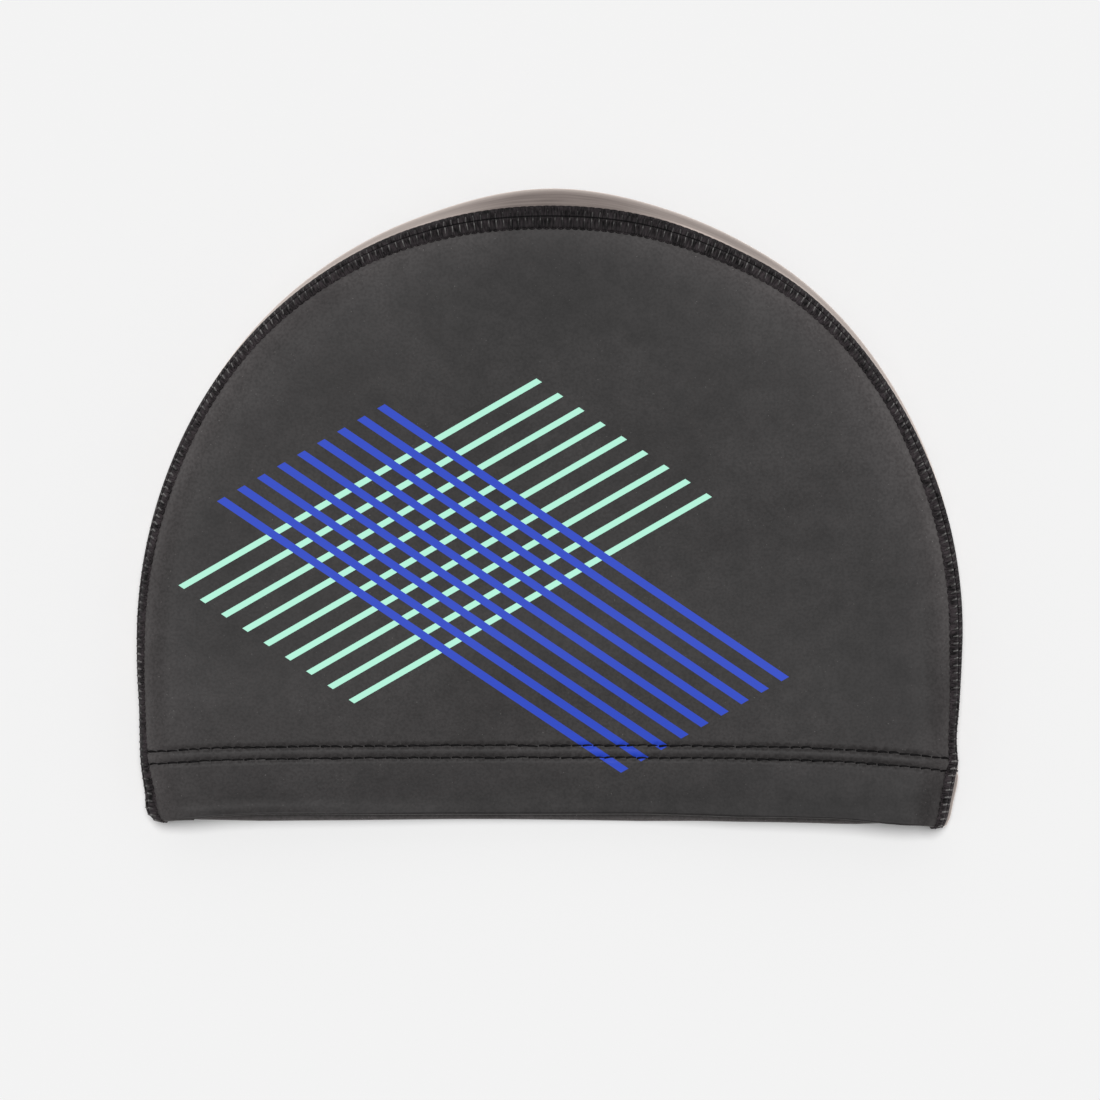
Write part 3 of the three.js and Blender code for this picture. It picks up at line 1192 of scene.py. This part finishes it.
@dataclass
class SidePanel:
    """One of the two coated side panels, with its turned-up hem.

    The painted light's rows hold a place on the rim, how much lighter the coating is painted close
    to the seam, and how much in a broader band. The low painted light's rows hold a depth in
    millimetres and the same for the left and the right side. Both are painted light and shade,
    darker where below zero, that stand in for how the light falls where the cloth bends to the
    seam and dips to the hem.
    """

    rim: Rim
    side: Side
    dome_steps: int = 140
    level_steps: int = 58
    roll_steps: int = 12
    tuck: float = 1.2 * MM
    tuck_lifts: tuple[float, float] = (0.1 * MM, -0.3 * MM)
    flat: tuple[float, float] = (0.226, 0.192)
    flat_area: float = 0.0375
    # Painted light and shade: how much lighter the coating is painted near the seams, in a broad
    # band and low on the sides.
    painted_light_width: float = 5.0 * MM
    broad_painted_light_width: float = 30.0 * MM
    painted_light: tuple[tuple[float, float, float], ...] = (
        (-40, 1.20, 0.00), (-32, 0.70, 0.00), (-22, 1.40, -0.10), (-11, 1.40, -0.22),
        (0, 1.90, -0.25), (12, 2.30, -0.18), (36, 2.20, 0.15), (58, 2.15, 0.00),
        (66, 1.70, -0.08), (75, 1.10, -0.30), (90, 0.90, -0.34), (105, 1.10, -0.28),
        (117, 1.30, 0.25), (124, 1.50, 0.10), (132, 1.85, -0.06), (143, 1.95, 0.00),
        (150, 2.00, 0.02), (158, 1.95, -0.18), (168, 2.10, -0.26), (176, 1.75, -0.20),
        (184, 1.55, 0.00), (191, 1.45, 0.00), (201, 1.45, 0.00), (211, 1.70, 0.00),
        (220, 1.20, 0.00),
    )
    low_painted_light: tuple[tuple[float, float, float], ...] = (
        (-1, 0.00, 0.00), (6, 0.08, -0.08), (13, 0.36, -0.02), (20, 0.46, 0.06),
        (26, 0.50, 0.28), (32, 0.42, 0.18), (38, 0.22, -0.25), (44, 0.12, -0.38),
        (48.3, 0.12, -0.35),
    )
    low_painted_light_at: tuple[float, float] = (-90 * MM, 90 * MM)
    # Painted light: the plain hem's inner lip is painted paler near its edge, where the printed
    # hem shades it.
    lip_painted_light: float = 3.6
    lip_painted_light_depth: float = 2.5 * MM

    def _painted_light(
        self, section: Section, points: np.ndarray, from_seam: np.ndarray, inside: bool
    ) -> np.ndarray:
        """How much lighter the coating is painted, and darker where it is below zero.

        It is painted light and shade, which stand in for the light on the cloth: set by places on
        the rim where it bends to the seam, and by depths down the left and the right side where it
        dips to the hem. The plain hem's lip is painted pale on the inside, where the printed hem
        shades it.

        Args:
            section: The section that the points are on.
            points: The points.
            from_seam: Their distances from the seam.
            inside: Whether they are on the inner face.

        Returns:
            The shares by which the coating is painted lighter.
        """
        places, near, broad = np.array(self.painted_light).T
        painted_light = np.interp(section.place, places, near) / (1 + (from_seam / self.painted_light_width) ** 2)
        painted_light += np.interp(section.place, places, broad) / (1 + (from_seam / self.broad_painted_light_width) ** 4)
        depths, left, right = np.array(self.low_painted_light).T
        low = [np.interp(section.depth, depths * MM, side) for side in (left, right)]
        painted_light += np.interp(points[:, 0], self.low_painted_light_at, low)
        # Painted light on the plain hem's inner lip.
        if inside and self.side is Side.PLAIN:
            rest = self.rim.sizes.side_depth - section.depth
            painted_light += self.lip_painted_light * max(1 - rest / self.lip_painted_light_depth, 0.0)
        return painted_light

    def _skin(self, station: Station, outer: bool) -> Face:
        """Lays a station's cloth from the hub line to the seam, on one face of the wall.

        Args:
            station: The station.
            outer: Whether it is the outer face.

        Returns:
            The points and their flat coordinates.
        """
        section, sizes = station.section, self.rim.sizes
        lift = self.rim.face_lift(station, outer)
        level = section.level(np.linspace(0, 1, self.level_steps + 1), self.side, lift)
        along = np.linspace(0, sizes.roll + self.tuck, self.roll_steps + 1)[1:]
        under = np.clip((along - sizes.roll) / self.tuck, 0, 1)
        distances = along if self.side is Side.PRINTED else section.length - along
        roll = section.cloth(distances, lift + under * self.tuck_lifts[outer])
        points = np.vstack([level, roll])
        flats = points.copy()
        if section.depth > 0:
            flats[:, 1] = sizes.hub_y - section.depth
        from_seam = np.concatenate([
            np.linalg.norm(level - level[-1], axis=1) + sizes.roll,
            np.maximum(sizes.roll - along, 0),
        ])
        # The third flat number is the coating's painted light and shade.
        flats[:, 2] = self._painted_light(section, points, from_seam, not outer)
        share = section.depth / sizes.side_depth
        points[:, 1] += self.rim.hem.shortfall(self.side, points[:, 0], share)
        return points, flats

    def build(self, finish: CoatedCloth) -> bpy.types.Object:
        """Makes the panel's cloth.

        Args:
            finish: The cloth's finish.

        Returns:
            The panel's piece.
        """
        stations = self.rim.stations(self.dome_steps)
        points, flats = wall_grid(stations, self._skin, ring=False)
        name = f"{self.side.value}_panel"
        piece = make_piece(f"{name}_cloth", points, flats, finish.make())
        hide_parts(name)
        return piece


@dataclass
class CentreStrip:
    """The satin strip that runs over the head between the two seams."""

    rim: Rim
    dome_steps: int = 240
    steps: int = 16
    tuck: float = 2.6 * MM
    tuck_start: float = 0.4 * MM
    tuck_lifts: tuple[float, float] = (0.1 * MM, -0.4 * MM)
    flat: tuple[float, float] = (0.0225, 0.508)
    flat_area: float = 0.0074

    def _skin(self, station: Station, outer: bool) -> Face:
        """Lays a station's cloth from one seam to the other, on one face of the wall.

        Args:
            station: The station.
            outer: Whether it is the outer face.

        Returns:
            The points and their flat coordinates.
        """
        section, sizes = station.section, self.rim.sizes
        start = sizes.roll + sizes.seam
        end = section.length - start
        distances = np.concatenate([
            [start - self.tuck, start - self.tuck_start],
            np.linspace(start, end, self.steps + 1),
            [end + self.tuck_start, end + self.tuck],
        ])
        tucked = np.zeros(len(distances))
        tucked[[0, 1, -2, -1]] = (1, 0.5, 0.5, 1)
        lift = self.rim.face_lift(station, outer)
        points = section.cloth(distances, lift + tucked * self.tuck_lifts[outer])
        run = np.full(len(distances), self.rim.run_at(section.place, Side.PRINTED))
        across = distances - section.length / 2
        inside = np.maximum(section.length / 2 - start - np.abs(across), 0)
        return points, np.stack([run, across, inside], axis=-1)

    def build(self, finish: SatinKnit) -> bpy.types.Object:
        """Makes the strip's cloth.

        Args:
            finish: The cloth's finish.

        Returns:
            The strip's piece.
        """
        points, flats = wall_grid(self.rim.stations(self.dome_steps), self._skin, ring=True)
        piece = make_piece("centre_strip_cloth", points, flats, finish.make())
        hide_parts("centre_strip")
        return piece


@dataclass
class FlatlockSeam:
    """A flatlock seam: a band of covering thread with two rows of bars and a looped edge."""

    rim: Rim
    side: Side
    pitch: float = 2.0 * MM
    dome_steps: int = 420
    band_steps: int = 20
    thread_sides: int = 6
    rows: tuple[tuple[float, float], ...] = (
        (0.7 * MM, 3.35 * MM), (3.95 * MM, 5.4 * MM),
    )
    bar_points: int = 6
    bar_halves: tuple[float, float] = (0.14 * MM, 0.24 * MM)
    bar_half_height: float = 0.13 * MM
    bar_sink: float = 0.16 * MM
    lean: float = 0.14
    loop: float = 0.55 * MM
    loop_points: int = 6
    loop_inset: float = 0.3 * MM
    loop_lift: float = 0.06 * MM
    loop_half: tuple[float, float] = (0.24 * MM, 0.2 * MM)
    seed: int = 11

    def _proud(self, across: np.ndarray) -> np.ndarray:
        """Gives the band's height above the cloth.

        The rows are round on their outer sides and drop into the groove between them.

        Args:
            across: Distances across the band.

        Returns:
            The heights.
        """
        sizes = self.rim.sizes
        off = np.abs(across - sizes.seam_row)
        row = np.clip(np.abs(off / sizes.seam_row * 2 - 1), 0, 1)
        crown = np.sqrt(1 - row**2)
        low = np.where(off < sizes.seam_row / 2, -sizes.seam_groove, 0.0)
        return low + (sizes.seam_proud - low) * crown

    def _skin(self, station: Station, outer: bool) -> Face:
        """Lays a station's band on one face of the wall.

        Args:
            station: The station.
            outer: Whether it is the outer face.

        Returns:
            The points and their flat coordinates.
        """
        section, sizes = station.section, self.rim.sizes
        across = np.linspace(0, sizes.seam, self.band_steps + 1)
        proud = self._proud(across)
        pinch = station.pinch * (station.thickness + sizes.seam_proud) / 2
        lift = proud - pinch if outer else pinch - station.thickness - proud
        points = section.cloth(section.seam_start(self.side) + across, lift)
        run = np.full(len(across), self.rim.run_at(section.place, self.side))
        return points, np.stack([run, across], axis=-1)

    @staticmethod
    def _ups(section: Section, distance: np.ndarray | float) -> np.ndarray:
        """The cloth's outward directions at distances along a section."""
        step = 0.1 * MM
        return (section.cloth(distance, step) - section.cloth(distance, 0.0)) / step

    def _bars(
        self, sections: Sequence[Section]
    ) -> tuple[list[np.ndarray], list[np.ndarray], list[float]]:
        """Lays the bars across the seam's rows.

        They are a little uneven, as sewn ones are, finest at the crown and thickest at the sides.

        Args:
            sections: The sections that the bars stand on.

        Returns:
            Their paths, outward directions and half widths.
        """
        sizes = self.rim.sizes
        chance = np.random.default_rng(self.seed)
        end_spread, lean_spread, lift_spread = 0.1 * MM, 0.03, 0.02
        finest, thickest = self.bar_halves
        paths, ups, halves = [], [], []
        for section in sections:
            turned = section.direction[0]
            half = finest + (thickest - finest) * abs(turned)
            for row in self.rows:
                halves.append(half * chance.uniform(*THREAD_UNEVENNESS))
                low, high = np.array(row) + chance.normal(0, end_spread, 2)
                across = np.linspace(low, high, self.bar_points)
                if self.side is Side.PLAIN:
                    across = sizes.seam - across
                lean = chance.normal(self.lean * turned, lean_spread)
                places = section.place + np.linspace(-1, 1, self.bar_points) * lean
                lift = self._proud(across) + chance.normal(0.02, lift_spread) * MM
                lift[[0, -1]] -= self.bar_sink
                paths.append(np.array([
                    crossed.cloth(crossed.seam_start(self.side) + distance, height)
                    for crossed, distance, height in zip(
                        (Section(sizes, place) for place in places), across, lift
                    )
                ]))
                ups.append(self._ups(section, section.seam_start(self.side) + across))
        return paths, ups, halves

    def _edge_loops(self) -> tuple[list[np.ndarray], list[np.ndarray]]:
        """Lays the looped threads along both edges.

        Returns:
            Their paths and outward directions.
        """
        sizes = self.rim.sizes
        sections = self.rim.along_seam(self.side, self.pitch / self.loop_points)
        arch = np.abs(np.sin(np.pi * np.arange(len(sections)) / self.loop_points)) ** 0.7
        inner, outer = self.loop * arch, self.loop * arch / 3
        if self.side is Side.PLAIN:
            inner, outer = outer, inner
        paths, ups = [], []
        for across in (self.loop_inset - inner, sizes.seam - self.loop_inset + outer):
            places = [
                (section, section.seam_start(self.side) + distance)
                for section, distance in zip(sections, across)
            ]
            paths.append(np.array([section.cloth(at, self.loop_lift) for section, at in places]))
            ups.append(np.array([self._ups(section, at) for section, at in places]))
        return paths, ups

    def build(self, cover: SewingThread, bar: SewingThread) -> list[bpy.types.Object]:
        """Makes the seam's band, bars and edge threads.

        Args:
            cover: The finish of the covering thread.
            bar: The finish of the bars.

        Returns:
            The seam's pieces.
        """
        name = f"{self.side.value}_side_seam"
        points, flats = wall_grid(self.rim.stations(self.dome_steps), self._skin, ring=True)
        cover_material = cover.make()
        band = make_piece(f"{name}_band", points, flats, cover_material)
        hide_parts(name)
        paths, ups = self._edge_loops()
        half_width, half_height = self.loop_half
        halves = [half_width] * len(paths)
        points, flats = thread_grid(paths, ups, halves, half_height, self.thread_sides)
        loops = make_piece(f"{name}_loops", points, flats, cover_material)
        bars = self._bars(self.rim.along_seam(self.side, self.pitch))
        points, flats = thread_grid(*bars, self.bar_half_height, self.thread_sides)
        bars = make_piece(f"{name}_bars", points, flats, bar.make())
        return [band, loops, bars]


@dataclass
class HemStitching:
    """The two rows of lockstitch that run round the mouth of the cap."""

    rim: Rim
    points_per_stitch: int = 6
    thread_sides: int = 6
    line_points: int = 400
    bedding: float = 0.75
    thick_end: float = 1.4
    thinning: float = 0.75
    drift: float = 0.16 * MM
    late: tuple[float, float] = (0.0, 0.1)
    lengths: tuple[float, float] = (0.93, 1.06)
    bow: tuple[float, float] = (0.12, 0.06)
    slant: tuple[float, float] = (0.12, 0.08)
    rise: tuple[float, float] = (0.18, 0.26)
    sunk: float = 0.1
    seed: int = 5

    def _loop(self, depth: float, right: bool) -> tuple[np.ndarray, np.ndarray]:
        """Follows a row round one half of the mouth.

        Args:
            depth: How far below the widest line the row lies.
            right: Whether it is the right half.

        Returns:
            The row's line, and the cloth's outward directions along it.
        """
        sizes = self.rim.sizes
        section = Section(sizes, sizes.place_at_depth(depth, right))
        shares = np.linspace(0, 1, self.line_points)
        distances = np.linspace(0, section.length, self.line_points)[1:-1]

        def line(lift: float) -> np.ndarray:
            """The same line at a height above the cloth."""
            return np.vstack([
                section.level(shares, Side.PRINTED, lift),
                section.cloth(distances, lift),
                section.level(shares[::-1], Side.PLAIN, lift),
            ])

        step = 0.1 * MM
        return line(-self.rim.hem.groove * self.bedding), (line(step) - line(0.0)) / step

    def build(self, thread: SewingThread) -> bpy.types.Object:
        """Makes the stitches, each a little uneven.

        On the printed panel they are thickest at their left ends.

        Args:
            thread: The thread's finish.

        Returns:
            The stitches' piece.
        """
        hem = self.rim.hem
        chance = np.random.default_rng(self.seed)
        paths, ups, halves = [], [], []
        steps = np.linspace(0, 1, self.points_per_stitch)
        arch = np.sin(np.pi * steps)
        for depth, right in product(hem.depths, (True, False)):
            line, up = self._loop(depth, right)
            run = travelled(line)
            count = int(run[-1] / hem.pitch)
            drift = chance.normal(0, self.drift, count + 2)
            drift = np.convolve(drift, np.ones(3) / 3, "valid")
            taper = self.thick_end - self.thinning * (steps if right else steps[::-1])
            for stitch in range(count):
                start = (stitch + chance.uniform(*self.late)) * hem.pitch
                places = start + steps * hem.stitch * chance.uniform(*self.lengths)
                path, out = (
                    np.stack([np.interp(places, run, values) for values in track.T], axis=-1)
                    for track in (line, up)
                )
                sway = drift[stitch] + arch * chance.normal(*self.bow) * MM
                path[:, 1] += sway + (steps - 0.5) * chance.normal(*self.slant) * MM
                height = (arch**0.5 * chance.uniform(*self.rise) - self.sunk) * MM
                paths.append(path + out * height[:, None])
                ups.append(out)
                halves.append(hem.half_width * chance.uniform(*THREAD_UNEVENNESS) * taper)
        points, flats = thread_grid(paths, ups, halves, hem.half_height, self.thread_sides)
        return make_piece("hem_stitching", points, flats, thread.make())


@dataclass
class Studio:
    """The pale floor, the soft lights and the camera straight above."""

    floor_size: float = 6.0
    floor_drop: float = 0.3 * MM
    floor_colour: Rgb = (238, 238, 238)
    floor_roughness: float = 0.9
    floor_specular: float = 0.1
    sky: float = 0.2
    key_strength: float = 2.7
    key_tilt: float = 8.0
    key_spread: float = 22.0
    key_place: tuple[float, float, float] = (0.0, 0.2, 1.0)
    pixels_per_mm: float = 3.68
    frame_pixels: float = 1100.0
    frame_centre: tuple[float, float] = (0.136 * MM, -11.28 * MM)
    outline_height: float = 7.0 * MM
    lens: float = 150.0
    sensor: float = 36.0

    def build(self) -> None:
        """Makes the floor, the lights and the camera."""
        self._floor()
        self._lights()
        self._camera()
        bpy.context.scene.view_settings.view_transform = "Standard"

    def _floor(self) -> None:
        """Lays the floor just under the cap's lowest threads."""
        mesh = bpy.data.meshes.new("floor")
        shape = bmesh.new()
        bmesh.ops.create_grid(shape, x_segments=1, y_segments=1, size=self.floor_size / 2)
        bmesh.ops.translate(shape, vec=(0, 0, -self.floor_drop), verts=shape.verts)
        shape.to_mesh(mesh)
        shape.free()
        material, nodes, shader = new_material("pale floor")
        nodes.feed(shader, {
            "Base Color": linear(self.floor_colour),
            "Roughness": self.floor_roughness,
            "Specular IOR Level": self.floor_specular,
        })
        mesh.materials.append(material)
        floor = bpy.data.objects.new("floor", mesh)
        bpy.context.scene.collection.objects.link(floor)

    def _lights(self) -> None:
        """Puts a low sky all round and a broad soft key light overhead, leaning to the crown."""
        world = bpy.data.worlds.new("studio")
        bpy.context.scene.world = world
        world.use_nodes = True
        sky = world.node_tree.nodes["Background"]
        sky.inputs["Color"].default_value = (1.0, 1.0, 1.0, 1.0)
        sky.inputs["Strength"].default_value = self.sky
        key = bpy.data.lights.new("key", "SUN")
        key.energy = self.key_strength
        key.angle = math.radians(self.key_spread)
        lamp = bpy.data.objects.new("key", key)
        lamp.rotation_euler = (-math.radians(self.key_tilt), 0.0, 0.0)
        lamp.location = self.key_place
        bpy.context.scene.collection.objects.link(lamp)

    def _camera(self) -> None:
        """Hangs the camera straight above, so that the cap's outline has the photo's size."""
        camera = bpy.data.cameras.new("camera")
        camera.lens = self.lens
        camera.sensor_width = self.sensor
        view = self.frame_pixels / self.pixels_per_mm * MM
        height = view * self.lens / self.sensor + self.outline_height
        eye = bpy.data.objects.new("camera", camera)
        eye.location = (*self.frame_centre, height)
        bpy.context.scene.collection.objects.link(eye)
        bpy.context.scene.camera = eye


MINT = (176, 238, 214)
BLUE = (40, 70, 192)
MINT_ANGLE = 30.0
BLUE_ANGLE = -34.0
PRINT_CENTRE = (-30 * MM, -10 * MM)
PRINT = (
    StripeRibbon(
        colour=MINT, angle=MINT_ANGLE, centre=PRINT_CENTRE, half_span=27 * MM, pitch=6.2 * MM,
        width=1.6 * MM, end_angle=BLUE_ANGLE, ends=(-48 * MM, 52 * MM),
    ),
    StripeRibbon(
        colour=BLUE, angle=BLUE_ANGLE, centre=PRINT_CENTRE, half_span=24 * MM, pitch=5.6 * MM,
        width=2.1 * MM, end_angle=MINT_ANGLE, ends=(-78 * MM, 40 * MM),
    ),
)


def main() -> None:
    """Builds the cap piece by piece, and the studio round it."""
    logging.basicConfig(level=logging.INFO, format="%(message)s")
    sizes = CapSizes()
    rim = Rim(sizes, HemRows())
    studio = Studio()
    studio.build()
    LOG.info("studio")
    # Painted light: the seam threads are painted lighter towards the sides of the cap.
    cover = SewingThread(
        "dark covering thread", (2, 2, 2), (50, 45, 47), (2600.0, 380.0), sizes.seam_row,
        side_gain=8.2, relief=(0.8, 0.2 * MM),
    )
    # The bars' grey is a painted highlight: it stands in for the glint of light on dark thread.
    bar = SewingThread(
        "bar thread with painted glint", (33, 32, 32), (120, 118, 117), (900.0, 900.0), patch=70.0,
        side_gain=5.9,
    )
    stitch = SewingThread("dark hem thread", (7, 6, 7), (24, 22, 23))
    strip = CentreStrip(rim)
    strip_piece = strip.build(SatinKnit())
    LOG.info("%s", strip_piece.name)
    finishes = {
        Side.PLAIN: CoatedCloth("plain coated cloth", rim.hem, sizes.hub_y),
        Side.PRINTED: CoatedCloth("printed coated cloth", rim.hem, sizes.hub_y, PRINT),
    }
    for side, finish in finishes.items():
        panel = SidePanel(rim, side)
        piece = panel.build(finish)
        LOG.info("%s", piece.name)
        for thread in FlatlockSeam(rim, side).build(cover, bar):
            LOG.info("%s", thread.name)
    LOG.info("%s", HemStitching(rim).build(stitch).name)


if __name__ == "__main__":
    main()
